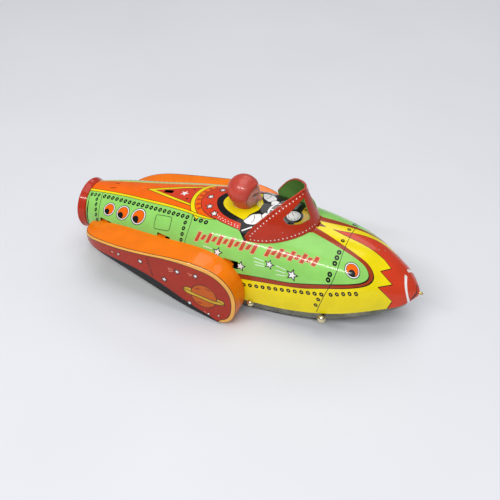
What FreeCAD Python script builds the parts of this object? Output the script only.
"""Tin space rocket with a friction motor. Millimetres, +X nose, +Z up, origin on the floor.

The tin sheets are thin solids cut from lofted blocks; the motor, wheels and axles are turned
or stamped parts. Every driving dimension is a cell of the Dims sheet.
"""
import FreeCAD, Part
import math
import os
import Sketcher

doc = FreeCAD.newDocument("Rocket")
sheet = doc.addObject("Spreadsheet::Sheet", "Dims")

DIMENSIONS = {
    "tin": 0.5,                 # printed sheet thickness
    "gap": 0.15,                # clearance between neighbouring sheets
    "rim_rise": 1.2,            # how far the pan's rim reaches up inside the shell
    "pan_inset": 0.75,          # pan side behind the shell's lower edge
    "pan_lean": 1.0,            # how much the pan narrows towards its floor
    "tail_level": 22.2,         # height of the tail ring's axis
    "tail_end": -90.0,
    "tail_front": -85.6,
    "tail_radius": 13.45,
    "tail_front_radius": 12.8,
    "spigot_radius": 12.1,
    "spigot_end": -82.6,
    "dish_radius": 10.2,
    "dish_depth": 3.0,
    "shell_start": -85.3,
    "drive_x": -5.0,
    "drive_z": 13.0,
    "drive_tyre_radius": 13.0,
    "drive_hub_radius": 9.6,
    "drive_tyre_width": 6.4,
    "drive_wheel_place": 31.2,  # middle of a drive tyre from the centre plane
    "drive_axle_radius": 1.5,
    "drive_axle_length": 71.0,
    "front_x": 50.3,
    "front_z": 10.4,
    "front_tyre_radius": 10.4,
    "front_hub_radius": 7.4,
    "front_tyre_width": 7.0,
    "front_axle_radius": 1.2,
    "cap_radius": 1.9,
    "cap_height": 1.7,
    "running": 0.06,            # radial running clearance of a shaft in its bore
    "arbor_radius": 1.0,
    "plate_inner": 9.0,         # inner face of a motor plate from the centre plane
    "plate_thick": 0.8,
    "plate_back": -14.0,
    "plate_front": 33.0,
    "plate_low": 4.3,
    "plate_high": 30.5,
    "foot_reach": 6.0,
    "foot_length": 7.0,
    "pillar_radius": 1.6,
    "pillar_peen": 1.1,
    "gear_module": 0.5,
    "drive_teeth": 40,
    "pinion_teeth": 12,
    "middle_teeth": 36,
    "backlash": 0.1,
    "gear_width": 2.0,
    "pinion_width": 3.0,
    "middle_slope": 35.0,       # direction of the middle arbor from the drive axle, degrees
    "flywheel_slope": -8.0,     # direction of the flywheel arbor from the middle arbor
    "flywheel_radius": 10.2,
    "flywheel_width": 6.0,
    "rivet_radius": 1.0,
    "rivet_head": 1.7,
    "screen_foot": 38.0,        # windshield foot on the centre line
    "screen_back": 8.6,         # windshield rear tips
    "screen_lean": 0.42,        # lean to the rear for each millimetre of height
    "screen_top_x": 30.0,
    "screen_top_z": 63.0,
    "head_x": -0.2,
    "head_z": 54.0,
    "head_radius": 7.6,
    "collar_radius": 6.4,
    "collar_low": 47.0,
    "collar_high": 49.6,
    "stud_radius": 2.9,
    "stud_low": 43.4,
    "washer_radius": 4.6,
    "washer_low": 44.8,
    "crown_level": 45.4,        # height at which the windshield's plan outline is drawn
    "screen_tip_z": 40.6,
    "pan_floor": 3.7,           # lowest level of the pan, under the motor
    "flywheel_low": 1.2,        # inner face of the flywheel from the centre plane
    "front_axle_reach": 24.6,
    "front_spacer_end": 20.8,
    "nose_end": 90.0,           # tip of the folded nib
    "nib_half_width": 1.1,
}

# The body's lines: at each place along X the half width, crown height, height of the widest
# level, height and half width of the seam edge, depth of the pan below it, and how full
# (square-shouldered) the arch is.
LINES = {
    "tail": (-85.3, 12.8, 34.9, 22.2, 11.6, 7.2, 2.4, 2.0),
    "jets": (-72.0, 17.2, 37.2, 21.6, 10.2, 14.5, 4.0, 2.15),
    "rear": (-55.0, 20.0, 39.8, 21.0, 9.6, 19.0, 5.6, 2.3),
    "hip": (-35.0, 23.2, 42.9, 20.5, 9.5, 22.8, 5.8, 2.5),
    "waist": (-12.0, 25.8, 45.8, 20.0, 9.5, 25.2, 5.8, 2.7),
    "seat": (10.0, 26.6, 46.8, 20.0, 9.5, 26.0, 5.8, 2.7),
    "cowl": (30.0, 25.9, 45.9, 20.5, 10.2, 25.3, 5.8, 2.6),
    "axle": (50.0, 23.8, 43.3, 21.0, 12.6, 23.3, 5.8, 2.4),
    "bow": (66.0, 19.4, 39.5, 20.5, 15.4, 18.8, 5.2, 2.15),
    "band": (78.0, 12.8, 33.2, 20.0, 17.2, 12.8, 4.2, 2.0),
    "point": (86.0, 6.6, 26.2, 20.3, 18.8, 6.6, 2.8, 1.95),
    "tip": (89.2, 1.6, 22.0, 20.6, 20.0, 1.6, 0.8, 1.95),
}
COLUMNS = ("x", "width", "crown", "middle", "seam", "tuck", "pan", "full")


def fill_sheet():
    """Write every dimension to its own cell and give the cell its alias."""
    row = 1
    for alias, size in DIMENSIONS.items():
        sheet.set("A" + str(row), alias)
        sheet.set("B" + str(row), str(size))
        sheet.setAlias("B" + str(row), alias)
        row += 1
    for place, sizes in LINES.items():
        sheet.set("A" + str(row), place)
        for column, letter, size in zip(COLUMNS, "BCDEFGHI", sizes):
            sheet.set(letter + str(row), str(size))
            sheet.setAlias(letter + str(row), place + "_" + column)
        row += 1
    doc.recompute()


fill_sheet()


def dim(alias):
    """A number from the sheet."""
    return float(sheet.get(alias))


def bind(feature, **expressions):
    """Tie properties of a feature to expressions of the sheet's cells."""
    for name, expression in expressions.items():
        feature.setExpression(name, expression)


def place(feature, x="0", y="0", z="0"):
    """Tie a feature's position to expressions."""
    for axis, expression in (("x", x), ("y", y), ("z", z)):
        feature.setExpression("Placement.Base." + axis, expression)


def keep(name, shape):
    """A sub-part whose shape was made with Part's own functions."""
    feature = doc.addObject("Part::Feature", name)
    feature.Label = name
    feature.Shape = shape
    return feature


def box(x_low, x_high, y_low, y_high, z_low, z_high):
    """A box between two corners."""
    corner = FreeCAD.Vector(x_low, y_low, z_low)
    return Part.makeBox(x_high - x_low, y_high - y_low, z_high - z_low, corner)


def rod(x, z, radius, y_low, y_high):
    """A cylinder along Y."""
    start = FreeCAD.Vector(x, y_low, z)
    return Part.makeCylinder(radius, y_high - y_low, start, FreeCAD.Vector(0, 1, 0))


def mirrored(shape):
    """The same shape on the other side of the centre plane."""
    return shape.mirror(FreeCAD.Vector(0, 0, 0), FreeCAD.Vector(0, 1, 0))


# ---------------------------------------------------------------- body lines

FLANK_STEPS = 4
ARCH_STEPS = 9


def line_row(name):
    """The body's sizes at one named place."""
    return [dim(name + "_" + column) for column in COLUMNS]


def arch_points(row, inset):
    """Points of one cross-section from the right seam edge over the crown to the left one."""
    x, width, crown, middle, seam, tuck, _, full = row
    half = []
    for step in range(FLANK_STEPS):
        drop = 1 - step / FLANK_STEPS
        y = tuck + (width - tuck) * (1 - drop * drop) - inset
        half.append((y, middle - (middle - seam) * drop))
    for step in range(ARCH_STEPS + 1):
        angle = math.pi / 2 * step / ARCH_STEPS
        y = (width - inset) * math.cos(angle) ** (2 / full)
        z = middle + (crown - inset - middle) * math.sin(angle) ** (2 / full)
        half.append((y, z))
    half[-1] = (0.0, half[-1][1])
    right = [FreeCAD.Vector(x, -y, z) for y, z in half]
    left = [FreeCAD.Vector(x, y, z) for y, z in reversed(half[:-1])]
    return right + left


def body_block(inset, drop, first_x, places):
    """Solid bounded by the body's surface moved inwards by inset, run down below the seam."""
    wires = []
    for name in places:
        row = line_row(name)
        if name == "tail":
            row[0] = first_x
        points = arch_points(row, inset)
        arch = Part.BSplineCurve()
        steps = [index / (len(points) - 1) for index in range(len(points))]
        arch.interpolate(Points=points, Parameters=steps)
        low = FreeCAD.Vector(0, 0, -drop)
        bottom = [points[-1], points[-1] + low, points[0] + low, points[0]]
        edges = [arch.toShape()]
        for start, end in zip(bottom, bottom[1:]):
            edges.append(Part.LineSegment(start, end).toShape())
        wires.append(Part.Wire(edges))
    return Part.makeLoft(wires, True)


def pan_block(inset, lift, places):
    """Solid of the base pan: a tray under the seam, inset from the shell and narrowing down."""
    wires = []
    for name in places:
        x, _, _, _, seam, tuck, depth, _ = line_row(name)
        top = max(tuck - dim("pan_inset") - inset, 0.3)
        low = max(top - dim("pan_lean"), 0.2)
        rim = seam + dim("rim_rise") + 4 * inset
        floor = seam - depth + lift
        corners = [(x, -low, floor), (x, low, floor), (x, top, rim), (x, -top, rim)]
        wires.append(Part.makePolygon([FreeCAD.Vector(*c) for c in corners + corners[:1]]))
    return Part.makeLoft(wires, True)


ALL_PLACES = list(LINES)
tin = dim("tin")
gap = dim("gap")
seam_drop = 0.01
outer_block = body_block(0, seam_drop, dim("shell_start"), ALL_PLACES)
inner_block = body_block(tin, 6, dim("shell_start") - 1, ALL_PLACES[:-1])
clear_block = body_block(-gap, 12, dim("shell_start") - 0.2, ALL_PLACES)

# ---------------------------------------------------------------- pods

POD_TOP = ((-79.0, 22.9), (-72.4, 25.4), (-50.0, 29.0), (-28.0, 31.6), (-8.0, 32.8),
           (3.6, 29.7), (10.8, 21.6), (12.0, 12.5), (9.2, 4.2), (4.5, 0.9))
POD_LOW = ((4.5, 0.9), (-12.0, 4.8), (-42.0, 15.4), (-64.0, 20.4), (-79.0, 21.2))
POD_PLAN = ((-79.6, 17.0), (-77.6, 23.4), (-75.2, 26.8), (-69.5, 31.0), (-60.0, 34.1),
            (-48.0, 35.9), (-30.0, 37.0), (-8.0, 37.4), (16.0, 37.6))
POD_ROOT = 12.0
TAB_PLACES = (-71.0, -34.6, 3.2)
TAB_LENGTH = 4.6
TAB_DEPTH = 1.7
SLOT_SPARE = 2.8


def spline(points):
    """A smooth edge through points."""
    curve = Part.BSplineCurve()
    curve.interpolate(Points=points)
    return curve.toShape()


INSIDE_STEPS = 24


def inside_points(points, inset, across):
    """Points along a smooth curve moved sideways by inset; across is square to its plane."""
    curve = Part.BSplineCurve()
    curve.interpolate(Points=points)
    moved = []
    for step in range(INSIDE_STEPS + 1):
        share = step / INSIDE_STEPS
        at = curve.FirstParameter + share * (curve.LastParameter - curve.FirstParameter)
        moved.append(curve.value(at) + curve.tangent(at)[0].cross(across) * inset)
    return moved


def pod_outline():
    """Side view of a pod as a face in the plane y = POD_ROOT."""
    top = spline([FreeCAD.Vector(x, POD_ROOT, z) for x, z in POD_TOP])
    low = spline([FreeCAD.Vector(x, POD_ROOT, z) for x, z in POD_LOW])
    end = Part.LineSegment(FreeCAD.Vector(POD_LOW[-1][0], POD_ROOT, POD_LOW[-1][1]),
                           FreeCAD.Vector(POD_TOP[0][0], POD_ROOT, POD_TOP[0][1])).toShape()
    return Part.Face(Part.Wire([top, low, end]))


def hollow_outline():
    """Side view of everything under the pod's band, open below and behind."""
    root = POD_ROOT - 1
    top = [FreeCAD.Vector(x, root, z) for x, z in POD_TOP]
    inner = inside_points(top, tin, FreeCAD.Vector(0, -1, 0))
    run = inner[-1] - inner[-2]
    run.normalize()
    back = inner[0] - (inner[1] - inner[0])
    corners = [inner[-1], inner[-1] + run * 8, FreeCAD.Vector(back.x, root, -6), back, inner[0]]
    edges = [spline(inner)]
    for start, finish in zip(corners, corners[1:]):
        edges.append(Part.LineSegment(start, finish).toShape())
    return Part.Face(Part.Wire(edges))


def plan_region(inset):
    """Everything inboard of a pod's outer face, moved inwards by inset."""
    plan = [FreeCAD.Vector(x, y, -8) for x, y in POD_PLAN]
    points = inside_points(plan, inset, FreeCAD.Vector(0, 0, 1))
    back = FreeCAD.Vector(points[0].x, 0, -8)
    front = FreeCAD.Vector(points[-1].x, 0, -8)
    edges = [spline(points)]
    for start, finish in ((points[-1], front), (front, back), (back, points[0])):
        edges.append(Part.LineSegment(start, finish).toShape())
    return Part.Face(Part.Wire(edges)).extrude(FreeCAD.Vector(0, 0, 56))


def whole_pod():
    """Left pod before its inner edge is trimmed: a teardrop cup open inboard and below."""
    reach = FreeCAD.Vector(0, 40, 0)
    outer = pod_outline().extrude(reach).common(plan_region(0))
    return outer.cut(hollow_outline().extrude(reach).common(plan_region(tin)))


def tab_window(x):
    """Region of one tab: it keeps a strip of the pod's band inside the body's surface."""
    x_low = x - TAB_LENGTH / 2
    window = box(x_low, x_low + TAB_LENGTH, POD_ROOT - 2, 30, 22, 40)
    return window.cut(body_block(tin + TAB_DEPTH, 6, dim("shell_start") - 1, ALL_PLACES[:-1]))


raw_pod = whole_pod()
tab_windows = [tab_window(x) for x in TAB_PLACES]
tab_strips = [raw_pod.common(clear_block).common(window) for window in tab_windows]
trimmer = clear_block
for window in tab_windows:
    trimmer = trimmer.cut(window)
pod_left_shape = raw_pod.cut(trimmer)
keep("pod_left", pod_left_shape)
keep("pod_right", mirrored(pod_left_shape))

# ---------------------------------------------------------------- shell and pan


def slot_cutter(strip):
    """Opening for one pod tab, longer than the tab towards the nose."""
    bounds = strip.optimalBoundingBox(False, False)
    return box(bounds.XMin - gap, bounds.XMax + SLOT_SPARE, bounds.YMin - 3,
               bounds.YMax + 3, bounds.ZMin - gap, bounds.ZMax + gap)


NECK_HOLE_CLEARANCE = 0.06
DECK_SLOT = (-43.6, -38.6, 1.3)
SCREEN_SLOT = (37.3, 40.4, 2.2)


def shell():
    """The printed body shell with its slots and holes, and the folded nib at its nose."""
    solid = outer_block.cut(inner_block)
    nose, side = dim("nose_end"), dim("nib_half_width")
    solid = solid.fuse(box(nose - 1.6, nose, -side, side, 20.1, 21.0))
    for strip in tab_strips:
        cutter = slot_cutter(strip)
        solid = solid.cut(cutter).cut(mirrored(cutter))
    bore = dim("drive_axle_radius") * 2
    solid = solid.cut(rod(dim("drive_x"), dim("drive_z"), bore, -40, 40))
    neck = FreeCAD.Vector(dim("head_x"), 0, 40)
    solid = solid.cut(Part.makeCylinder(dim("stud_radius") + NECK_HOLE_CLEARANCE, 12, neck))
    for x_low, x_high, reach in (DECK_SLOT, SCREEN_SLOT):
        solid = solid.cut(box(x_low, x_high, -reach, reach, 38, 50))
    return solid


keep("body_shell", shell())

WELL_LENGTH = 24.4
WELL_WIDTH = 11.0
MOTOR_WELL = (-19.0, 9.0, 8.2)
FOOT_PLACES = (-12.0, 9.0)


def pan():
    """The bare base pan with wells for the front wheel and the motor, and its axle bores."""
    places = ALL_PLACES[:-1]
    solid = pan_block(0, 0, places).cut(pan_block(tin, tin, places))
    front_x = dim("front_x")
    half = WELL_WIDTH / 2
    solid = solid.cut(box(front_x - WELL_LENGTH / 2, front_x + WELL_LENGTH / 2, -half, half, 0, 20))
    x_low, x_high, reach = MOTOR_WELL
    solid = solid.cut(box(x_low, x_high, -reach, reach, 0, 10))
    bore = dim("front_axle_radius") + dim("running")
    solid = solid.cut(rod(front_x, dim("front_z"), bore, -40, 40))
    drive_clearance = rod(dim("drive_x"), dim("drive_z"), dim("drive_axle_radius") * 2, -40, 40)
    solid = solid.cut(drive_clearance)
    for x, side in foot_holes():
        start = FreeCAD.Vector(x, side, 0)
        solid = solid.cut(Part.makeCylinder(dim("rivet_radius"), 9, start))
    start = FreeCAD.Vector(dim("tail_end"), 0, dim("tail_level"))
    spigot_length = dim("spigot_end") - dim("tail_end") + gap
    spigot = Part.makeCylinder(dim("spigot_radius") + gap, spigot_length, start,
                               FreeCAD.Vector(1, 0, 0))
    return solid.cut(spigot)


def foot_holes():
    """Centres of the four rivets that hold the motor's feet to the pan."""
    side = dim("plate_inner") + dim("plate_thick") + dim("foot_reach") / 2
    return [(x, sign * side) for x in FOOT_PLACES for sign in (-1, 1)]


keep("base_pan", pan())

# ---------------------------------------------------------------- sketches and bodies


def profile(body, role, corners):
    """A closed sketch of straight lines whose corners are tied to pairs of expressions."""
    sketch = body.newObject("Sketcher::SketchObject", "Profile")
    sketch.AttachmentSupport = [(find_plane(body, role), "")]
    sketch.MapMode = "FlatFace"
    spots = [[float(sketch.evalExpression(text)) for text in corner] for corner in corners]
    points = [FreeCAD.Vector(x, y, 0) for x, y in spots]
    count = len(points)
    for index in range(count):
        line = Part.LineSegment(points[index], points[(index + 1) % count])
        sketch.addGeometry(line, False)
    for index in range(count):
        follower = (index + 1) % count
        sketch.addConstraint(Sketcher.Constraint("Coincident", index, 2, follower, 1))
    for index, corner in enumerate(corners):
        for kind, text, size in zip(("DistanceX", "DistanceY"), corner, spots[index]):
            number = sketch.addConstraint(Sketcher.Constraint(kind, -1, 1, index, 1, size))
            sketch.setExpression("Constraints[" + str(number) + "]", text)
    return sketch


def find_plane(body, role):
    """One of a body's own origin planes."""
    for feature in body.Origin.OriginFeatures:
        if feature.Role == role:
            return feature
    raise ValueError(role)


def new_body(name):
    """A PartDesign body that carries a sub-part's name."""
    body = doc.addObject("PartDesign::Body", name)
    body.Label = name
    return body


def turned(name, corners, role="XY_Plane", axis="V_Axis"):
    """A turned piece: a profile of (radius, place along the axis) spun through a full turn."""
    body = new_body(name)
    sketch = profile(body, role, corners)
    spin = body.newObject("PartDesign::Revolution", name + "_turned")
    spin.Profile = sketch
    spin.ReferenceAxis = (sketch, [axis])
    spin.Angle = 360
    return body


def ring_corners(inner, outer, low, high, chamfer="0"):
    """Profile of a ring or disc with its two outer corners cut by a chamfer."""
    corners = [(inner, low), (outer + " - " + chamfer, low)]
    if chamfer != "0":
        corners.append((outer, low + " + " + chamfer))
        corners.append((outer, high + " - " + chamfer))
    corners.append((outer + " - " + chamfer, high))
    corners.append((inner, high))
    return corners


# ---------------------------------------------------------------- tail ring

tail = turned("tail_ring", [
    ("Dims.tail_end", "Dims.dish_radius"),
    ("Dims.tail_end", "Dims.tail_radius"),
    ("Dims.tail_front", "Dims.tail_front_radius"),
    ("Dims.tail_front", "Dims.spigot_radius"),
    ("Dims.spigot_end", "Dims.spigot_radius"),
    ("Dims.spigot_end", "Dims.spigot_radius - Dims.tin"),
    ("Dims.tail_end + 1.2", "Dims.spigot_radius - Dims.tin"),
    ("Dims.tail_end + Dims.dish_depth + Dims.tin", "Dims.dish_radius - 1.4"),
    ("Dims.tail_end + Dims.dish_depth + Dims.tin", "0"),
    ("Dims.tail_end + Dims.dish_depth", "0"),
    ("Dims.tail_end + Dims.dish_depth", "Dims.dish_radius - 2"),
], "XZ_Plane", "H_Axis")
place(tail, z="Dims.tail_level")

# ---------------------------------------------------------------- windshield

WINDOW = ((24.9, 53.6), (31.0, 60.3), (35.6, 49.3), (28.2, 50.8))
WINDOW_ROUND = 0.9
WINDOW_START = 3.3              # half of the bar that stays between the two windows
TAB_HALF = 1.8
EDGE_BOW = (17.6, 53.9)
# Level and half width of the windshield, which draws in towards its top.
SCREEN_LEVELS = ((34.0, 20.2), (41.0, 20.4), (46.0, 20.6), (50.0, 20.2), (55.5, 18.7),
                 (58.7, 16.4), (61.0, 14.0), (63.5, 11.0))


def screen_ring(level, half_width, inset):
    """Plan outline of the windshield at one level: half an ellipse that leans to the rear."""
    back = dim("screen_back") + dim("screen_lean") * (dim("crown_level") - level)
    reach = dim("screen_foot") - dim("screen_back") - inset
    ellipse = Part.Ellipse(FreeCAD.Vector(back, 0, level), reach, half_width - inset)
    arc = Part.Arc(ellipse, -math.pi / 2, math.pi / 2).toShape()
    chord = Part.LineSegment(arc.Vertexes[-1].Point, arc.Vertexes[0].Point).toShape()
    return Part.Wire([arc, chord])


def screen_block(inset):
    """Everything inside the windshield, lofted through its levels."""
    rings = [screen_ring(level, half_width, inset) for level, half_width in SCREEN_LEVELS]
    return Part.makeLoft(rings, True)


def side_view(points, bow=None):
    """A prism across the whole width over a side-view outline."""
    corners = [FreeCAD.Vector(x, -40, z) for x, z in points]
    edges = []
    if bow:
        middle = FreeCAD.Vector(bow[0], -40, bow[1])
        edges.append(Part.Arc(corners[0], middle, corners[1]).toShape())
        corners = corners[1:] + corners[:1]
    else:
        corners = corners + corners[:1]
    for start, end in zip(corners, corners[1:]):
        edges.append(Part.LineSegment(start, end).toShape())
    return Part.Face(Part.Wire(edges)).extrude(FreeCAD.Vector(0, 80, 0))


def window_cutter():
    """Side window with round corners, cut through each side but not through the front bar."""
    corners = [FreeCAD.Vector(x, -40, z) for x, z in WINDOW]
    face = Part.Face(Part.makePolygon(corners + corners[:1]))
    inner = face.makeOffset2D(-WINDOW_ROUND)
    reach = FreeCAD.Vector(0, 40 - WINDOW_START, 0)
    return inner.makeOffset2D(WINDOW_ROUND).extrude(reach)


def windshield():
    """Red tin visor that wraps round the cockpit, trimmed to the deck and to its raked top edge."""
    sheet_metal = screen_block(0).cut(screen_block(tin))
    window = window_cutter()
    back, top_x, top_z = dim("screen_back"), dim("screen_top_x"), dim("screen_top_z")
    tip_z = dim("screen_tip_z")
    under = side_view([(back - 0.4, tip_z), (top_x, top_z), (60, top_z), (60, 30),
                       (back - 0.4, 30)], EDGE_BOW)
    wrapped = sheet_metal.common(under).cut(window).cut(mirrored(window))
    tab = box(30, 45, -TAB_HALF, TAB_HALF, 30, 50)
    tab_end = body_block(tin + TAB_DEPTH, 6, dim("shell_start") - 1, ALL_PLACES[:-1])
    strip = wrapped.common(clear_block).common(tab).cut(tab_end)
    return wrapped.cut(clear_block).fuse(strip).removeSplitter()


keep("windshield", windshield())

# ---------------------------------------------------------------- driver


def driver():
    """Moulded head: round helmet, face block, collar and the stud that snaps through the deck."""
    centre = FreeCAD.Vector(dim("head_x"), 0, dim("head_z"))
    radius = dim("head_radius")
    helmet = Part.makeSphere(radius, centre)
    face = Part.makeSphere(radius * 0.78, centre + FreeCAD.Vector(2.4, 0, -1.4))
    chin = Part.makeSphere(radius * 0.5, centre + FreeCAD.Vector(3.4, 0, -3.6))
    foot = FreeCAD.Vector(dim("head_x"), 0, dim("collar_low"))
    collar_height = dim("collar_high") - dim("collar_low")
    collar = Part.makeCone(dim("collar_radius"), dim("collar_radius") - 0.8, collar_height, foot)
    stud_foot = FreeCAD.Vector(dim("head_x"), 0, dim("stud_low"))
    stud = Part.makeCylinder(dim("stud_radius"), dim("collar_low") - dim("stud_low") + 1, stud_foot)
    head = helmet.fuse([face, chin])
    head = head.cut(box(-20, 20, -20, 20, 30, dim("collar_low")))
    return head.fuse([collar, stud]).removeSplitter()


keep("driver_head", driver())

washer = turned("neck_washer", ring_corners("Dims.stud_radius", "Dims.washer_radius",
                                            "Dims.washer_low", "Dims.washer_low + Dims.tin"),
                "XZ_Plane", "V_Axis")
place(washer, x="Dims.head_x")

# ---------------------------------------------------------------- friction motor

DRIVE_REACH = "Dims.gear_module * (Dims.drive_teeth + Dims.pinion_teeth) / 2"
FLY_REACH = "Dims.gear_module * (Dims.middle_teeth + Dims.pinion_teeth) / 2"
MIDDLE_X = "Dims.drive_x + " + DRIVE_REACH + " * cos(Dims.middle_slope * 1 deg)"
MIDDLE_Z = "Dims.drive_z + " + DRIVE_REACH + " * sin(Dims.middle_slope * 1 deg)"
FLY_X = MIDDLE_X + " + " + FLY_REACH + " * cos(Dims.flywheel_slope * 1 deg)"
FLY_Z = MIDDLE_Z + " + " + FLY_REACH + " * sin(Dims.flywheel_slope * 1 deg)"


def reach(teeth_one, teeth_two):
    """Centre distance of two meshing gears."""
    return dim("gear_module") * (dim(teeth_one) + dim(teeth_two)) / 2


def step_from(x, z, slope, distance):
    """A point at a distance and slope from another, in side view."""
    angle = math.radians(slope)
    return x + distance * math.cos(angle), z + distance * math.sin(angle)


drive = (dim("drive_x"), dim("drive_z"))
middle = step_from(*drive, dim("middle_slope"), reach("drive_teeth", "pinion_teeth"))
fly = step_from(*middle, dim("flywheel_slope"), reach("middle_teeth", "pinion_teeth"))


def involute_gear(centre, teeth, addendum, dedendum, tooth_angle, bore, y_low, width):
    """Spur gear along Y with a tooth centred on tooth_angle, thinned for half the backlash."""
    module = dim("gear_module")
    pitch = module * teeth / 2
    base = pitch * math.cos(math.radians(20))
    tip = pitch + addendum * module
    root = pitch - dedendum * module
    half_tooth = math.pi / (2 * teeth) - dim("backlash") / 4 / pitch
    at_pitch = math.tan(math.radians(20)) - math.radians(20)
    start = max(base, root)
    flank = []
    for step in range(6):
        radius = start + (tip - start) * step / 5
        pressure = math.acos(min(1, base / radius))
        flank.append((radius, half_tooth + at_pitch - math.tan(pressure) + pressure))

    def spot(radius, angle):
        return FreeCAD.Vector(centre[0] + radius * math.cos(angle), y_low,
                              centre[1] + radius * math.sin(angle))

    edges = []
    turn = 2 * math.pi / teeth
    for tooth in range(teeth):
        middle_angle = math.radians(tooth_angle) + tooth * turn
        rising = [spot(radius, middle_angle - angle) for radius, angle in flank]
        falling = [spot(radius, middle_angle + angle) for radius, angle in reversed(flank)]
        if root < base:
            rising.insert(0, spot(root, middle_angle - flank[0][1]))
            falling.append(spot(root, middle_angle + flank[0][1]))
            edges.append(Part.LineSegment(rising[0], rising[1]).toShape())
        edges.append(spline(rising[1:] if root < base else rising))
        edges.append(Part.Arc(rising[-1], spot(tip, middle_angle), falling[0]).toShape())
        edges.append(spline(falling[:-1] if root < base else falling))
        if root < base:
            edges.append(Part.LineSegment(falling[-2], falling[-1]).toShape())
        valley = spot(root, middle_angle + turn / 2)
        next_root = spot(root, middle_angle + turn - flank[0][1])
        edges.append(Part.Arc(falling[-1], valley, next_root).toShape())
    blank = Part.Face(Part.Wire(edges)).extrude(FreeCAD.Vector(0, width, 0))
    return blank.cut(rod(centre[0], centre[1], bore, y_low - 1, y_low + width + 1))


PINION = {"addendum": 1.0, "dedendum": 1.0}
WHEEL = {"addendum": 0.75, "dedendum": 1.25}
GEAR_PLACES = {"drive_gear": -7.2, "middle_pinion": -7.7, "middle_gear": -3.6,
               "flywheel_pinion": -4.1}
LIGHTENING = {"drive_gear": 5.8, "middle_gear": 5.2}


def spoked(gear, centre, ring_radius, hole_radius, low, high):
    """Five round lightening holes through a stamped gear."""
    for index in range(5):
        angle = 2 * math.pi * index / 5
        x = centre[0] + ring_radius * math.cos(angle)
        z = centre[1] + ring_radius * math.sin(angle)
        gear = gear.cut(rod(x, z, hole_radius, low, high))
    return gear


def half_pitch(teeth):
    """Half the angle between teeth, degrees."""
    return 180 / dim(teeth)


def motor_gears():
    """The two gear pairs, each in mesh along its line of centres."""
    width, wide = dim("gear_width"), dim("pinion_width")
    arbor = dim("arbor_radius")
    pinion_teeth = int(dim("pinion_teeth"))
    slope_one, slope_two = dim("middle_slope"), dim("flywheel_slope")
    gears = {}
    y_low = GEAR_PLACES["drive_gear"]
    gear = involute_gear(drive, int(dim("drive_teeth")), tooth_angle=slope_one,
                         bore=dim("drive_axle_radius"), y_low=y_low, width=width, **WHEEL)
    gears["drive_gear"] = spoked(gear, drive, LIGHTENING["drive_gear"], 1.7, -9, 0)
    gears["middle_pinion"] = involute_gear(
        middle, pinion_teeth, tooth_angle=slope_one + 180 + half_pitch("pinion_teeth"),
        bore=arbor, y_low=GEAR_PLACES["middle_pinion"], width=wide, **PINION)
    gear = involute_gear(middle, int(dim("middle_teeth")), tooth_angle=slope_two,
                         bore=arbor, y_low=GEAR_PLACES["middle_gear"], width=width, **WHEEL)
    gears["middle_gear"] = spoked(gear, middle, LIGHTENING["middle_gear"], 1.5, -5, 0)
    gears["flywheel_pinion"] = involute_gear(
        fly, pinion_teeth, tooth_angle=slope_two + 180 + half_pitch("pinion_teeth"),
        bore=arbor, y_low=GEAR_PLACES["flywheel_pinion"], width=wide, **PINION)
    return gears


for gear_name, gear_shape in motor_gears().items():
    keep(gear_name, gear_shape)


def arbor(name, radius, reach_out, x, z):
    """A plain shaft along Y, tied to the sheet."""
    shaft = doc.addObject("Part::Cylinder", name)
    shaft.Label = name
    shaft.Placement.Rotation = FreeCAD.Rotation(FreeCAD.Vector(1, 0, 0), -90)
    bind(shaft, Radius=radius, Height="2 * (" + reach_out + ")")
    place(shaft, x, "-(" + reach_out + ")", z)
    return shaft


PLATE_OUT = "Dims.plate_inner + Dims.plate_thick"
arbor("drive_axle", "Dims.drive_axle_radius", "Dims.drive_axle_length / 2", "Dims.drive_x",
      "Dims.drive_z")
arbor("middle_arbor", "Dims.arbor_radius", PLATE_OUT + " + 0.6", MIDDLE_X, MIDDLE_Z)
arbor("flywheel_arbor", "Dims.arbor_radius", PLATE_OUT + " + 0.6", FLY_X, FLY_Z)

flywheel = turned("flywheel", [
    ("Dims.arbor_radius", "Dims.flywheel_low"),
    ("Dims.flywheel_radius - 0.6", "Dims.flywheel_low"),
    ("Dims.flywheel_radius", "Dims.flywheel_low + 0.6"),
    ("Dims.flywheel_radius", "Dims.flywheel_low + Dims.flywheel_width - 0.6"),
    ("Dims.flywheel_radius - 0.6", "Dims.flywheel_low + Dims.flywheel_width"),
    ("Dims.flywheel_radius - 2.6", "Dims.flywheel_low + Dims.flywheel_width"),
    ("Dims.flywheel_radius - 3.4", "Dims.flywheel_low + Dims.flywheel_width - 1.2"),
    ("Dims.arbor_radius + 1.6", "Dims.flywheel_low + Dims.flywheel_width - 1.2"),
    ("Dims.arbor_radius + 1.2", "Dims.flywheel_low + Dims.flywheel_width"),
    ("Dims.arbor_radius", "Dims.flywheel_low + Dims.flywheel_width"),
])
place(flywheel, FLY_X, "0", FLY_Z)

PILLARS = ((-10.4, 27.4), (29.6, 26.4), (7.6, 6.6))


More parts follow.
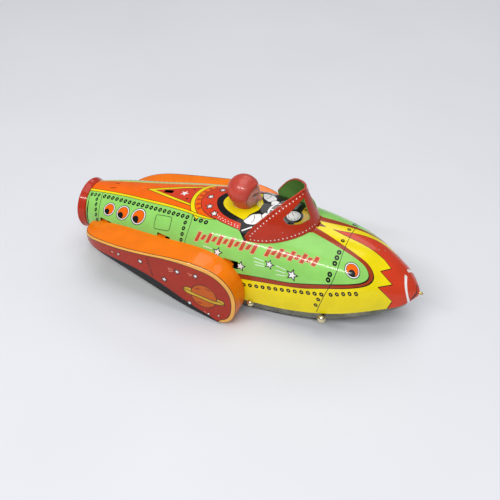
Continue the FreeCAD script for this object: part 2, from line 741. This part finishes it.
def motor_plate(sign):
    """One side plate of the motor: bored for three shafts and three pillars, with two feet."""
    inner = sign * dim("plate_inner")
    outer = sign * (dim("plate_inner") + dim("plate_thick"))
    low_y, high_y = min(inner, outer), max(inner, outer)
    back, front = dim("plate_back"), dim("plate_front")
    low, high = dim("plate_low"), dim("plate_high")
    corners = [(back, low), (back, high - 8), (back + 5, high), (front - 7, high),
               (front, high - 8), (front, low + 8), (front - 20, low)]
    points = [FreeCAD.Vector(x, low_y, z) for x, z in corners]
    face = Part.Face(Part.makePolygon(points + points[:1]))
    plate = face.extrude(FreeCAD.Vector(0, high_y - low_y, 0))
    far = sign * (dim("plate_inner") + dim("plate_thick") + dim("foot_reach"))
    for x in FOOT_PLACES:
        half = dim("foot_length") / 2
        foot = box(x - half, x + half, min(outer, far), max(outer, far), low, low + dim("plate_thick"))
        plate = plate.fuse(foot)
    bores = [(drive, dim("drive_axle_radius") + dim("running")),
             (middle, dim("arbor_radius") + dim("running")),
             (fly, dim("arbor_radius") + dim("running"))]
    bores += [(spot, dim("pillar_peen")) for spot in PILLARS]
    for (x, z), radius in bores:
        plate = plate.cut(rod(x, z, radius, low_y - 1, high_y + 1))
    for x, side in foot_holes():
        start = FreeCAD.Vector(x, side, low - 2)
        plate = plate.cut(Part.makeCylinder(dim("rivet_radius"), 5, start))
    return plate.removeSplitter()


keep("motor_plate_left", motor_plate(1))
keep("motor_plate_right", motor_plate(-1))


def pillar(x, z):
    """Stepped spacer whose peened ends hold the two plates."""
    inner = dim("plate_inner")
    outer = inner + dim("plate_thick") + 0.4
    body = rod(x, z, dim("pillar_radius"), -inner, inner)
    return body.fuse(rod(x, z, dim("pillar_peen"), -outer, outer)).removeSplitter()


keep("plate_pillars", Part.makeCompound([pillar(x, z) for x, z in PILLARS]))


def foot_rivet(x, y):
    """Rivet through one motor foot and the pan's floor."""
    head = 0.5
    floor = dim("pan_floor") - 0.05
    top = dim("plate_low") + dim("plate_thick")
    shank = Part.makeCylinder(dim("rivet_radius"), top - floor + 2 * head,
                              FreeCAD.Vector(x, y, floor - head))
    low = Part.makeCylinder(dim("rivet_head"), head, FreeCAD.Vector(x, y, floor - head))
    high = Part.makeCylinder(dim("rivet_head"), head, FreeCAD.Vector(x, y, top))
    return shank.fuse([low, high]).removeSplitter()


keep("motor_rivets", Part.makeCompound([foot_rivet(x, y) for x, y in foot_holes()]))

# ---------------------------------------------------------------- wheels


def wheel_pair(side, sign):
    """Pressed hub and rubber tyre of one drive wheel."""
    half = "Dims.drive_tyre_width / 2"
    hub = turned("wheel_" + side, [
        ("Dims.drive_axle_radius", "-" + half),
        ("Dims.drive_axle_radius + 2.4", "-" + half),
        ("Dims.drive_axle_radius + 2.8", "-" + half + " + 1.6"),
        ("Dims.drive_hub_radius - 1.4", "-" + half + " + 1.6"),
        ("Dims.drive_hub_radius - 0.8", "-" + half),
        ("Dims.drive_hub_radius", "-" + half),
        ("Dims.drive_hub_radius", half),
        ("Dims.drive_hub_radius - 0.8", half),
        ("Dims.drive_hub_radius - 1.4", half + " - 1.6"),
        ("Dims.drive_axle_radius + 2.8", half + " - 1.6"),
        ("Dims.drive_axle_radius + 2.4", half),
        ("Dims.drive_axle_radius", half),
    ])
    tyre = turned("tyre_" + side, ring_corners("Dims.drive_hub_radius", "Dims.drive_tyre_radius",
                                               "-" + half, half, "0.9"))
    for piece in (hub, tyre):
        place(piece, "Dims.drive_x", sign + "Dims.drive_wheel_place", "Dims.drive_z")


wheel_pair("left", "")
wheel_pair("right", "-")

front_half = "Dims.front_tyre_width / 2"
front_wheel = turned("front_wheel", [
    ("Dims.front_axle_radius", "-" + front_half + " - 0.6"),
    ("Dims.front_axle_radius + 1.8", "-" + front_half + " - 0.6"),
    ("Dims.front_axle_radius + 2.2", "-" + front_half + " + 1.4"),
    ("Dims.front_hub_radius - 1", "-" + front_half + " + 1.4"),
    ("Dims.front_hub_radius - 0.6", "-" + front_half),
    ("Dims.front_hub_radius", "-" + front_half),
    ("Dims.front_hub_radius", front_half),
    ("Dims.front_hub_radius - 0.6", front_half),
    ("Dims.front_hub_radius - 1", front_half + " - 1.4"),
    ("Dims.front_axle_radius + 2.2", front_half + " - 1.4"),
    ("Dims.front_axle_radius + 1.8", front_half + " + 0.6"),
    ("Dims.front_axle_radius", front_half + " + 0.6"),
])
front_tyre = turned("front_tyre", ring_corners("Dims.front_hub_radius", "Dims.front_tyre_radius",
                                               "-" + front_half, front_half, "0.8"))
for front_piece in (front_wheel, front_tyre):
    place(front_piece, "Dims.front_x", "0", "Dims.front_z")
arbor("front_axle", "Dims.front_axle_radius", "Dims.front_axle_reach", "Dims.front_x",
      "Dims.front_z")


def tube(x, z, inner, outer, y_low, y_high):
    """A spacer tube along Y."""
    return rod(x, z, outer, y_low, y_high).cut(rod(x, z, inner, y_low - 1, y_high + 1))


def both_sides(shape):
    """A piece and its mirror image as one group."""
    return Part.makeCompound([shape, mirrored(shape)])


front_bore = dim("front_axle_radius")
front_spacer = tube(dim("front_x"), dim("front_z"), front_bore, front_bore + 0.6,
                    dim("front_tyre_width") / 2 + 0.6, dim("front_spacer_end"))
keep("front_spacers", both_sides(front_spacer))
drive_bore = dim("drive_axle_radius")
drive_spacer = tube(drive[0], drive[1], drive_bore, drive_bore + 0.7,
                    dim("plate_inner") + dim("plate_thick") + 0.3,
                    dim("drive_wheel_place") - dim("drive_tyre_width") / 2)
keep("drive_spacers", both_sides(drive_spacer))


def axle_cap():
    """Domed cap pressed on one end of the front axle, outside the pan."""
    radius, height = dim("cap_radius"), dim("cap_height")
    seat = dim("front_axle_reach") - height + 0.5
    sphere_radius = (radius * radius + height * height) / (2 * height)
    centre = FreeCAD.Vector(dim("front_x"), seat + height - sphere_radius, dim("front_z"))
    dome = Part.makeSphere(sphere_radius, centre)
    keeper = rod(dim("front_x"), dim("front_z"), radius, seat, seat + height + 1)
    axle = rod(dim("front_x"), dim("front_z"), front_bore, 0, dim("front_axle_reach"))
    return dome.common(keeper).cut(axle)


keep("front_axle_caps", both_sides(axle_cap()))

# ---------------------------------------------------------------- checks and files

doc.recompute()
SUB_PARTS = [
    "body_shell", "base_pan", "tail_ring", "pod_left", "pod_right", "windshield",
    "driver_head", "neck_washer", "motor_plate_left", "motor_plate_right", "plate_pillars",
    "motor_rivets", "drive_axle", "drive_gear", "drive_spacers", "wheel_left", "wheel_right",
    "tyre_left", "tyre_right", "middle_arbor", "middle_pinion", "middle_gear",
    "flywheel_arbor", "flywheel_pinion", "flywheel", "front_axle", "front_spacers",
    "front_wheel", "front_tyre", "front_axle_caps",
]

for feature in doc.Objects:
    if "Invalid" in feature.State or "Error" in feature.State:
        raise RuntimeError(feature.Label + " failed: " + str(feature.State))

os.makedirs("parts", exist_ok=True)
for label in SUB_PARTS:
    piece = doc.getObjectsByLabel(label)[0]
    if piece.Shape.isNull() or not piece.Shape.isValid():
        raise RuntimeError(label + " has no valid shape")
    piece.Shape.exportStep("parts/" + label + ".step")
    solids = len(piece.Shape.Solids)
    print(label, "solids", solids, "volume", round(piece.Shape.Volume, 2))
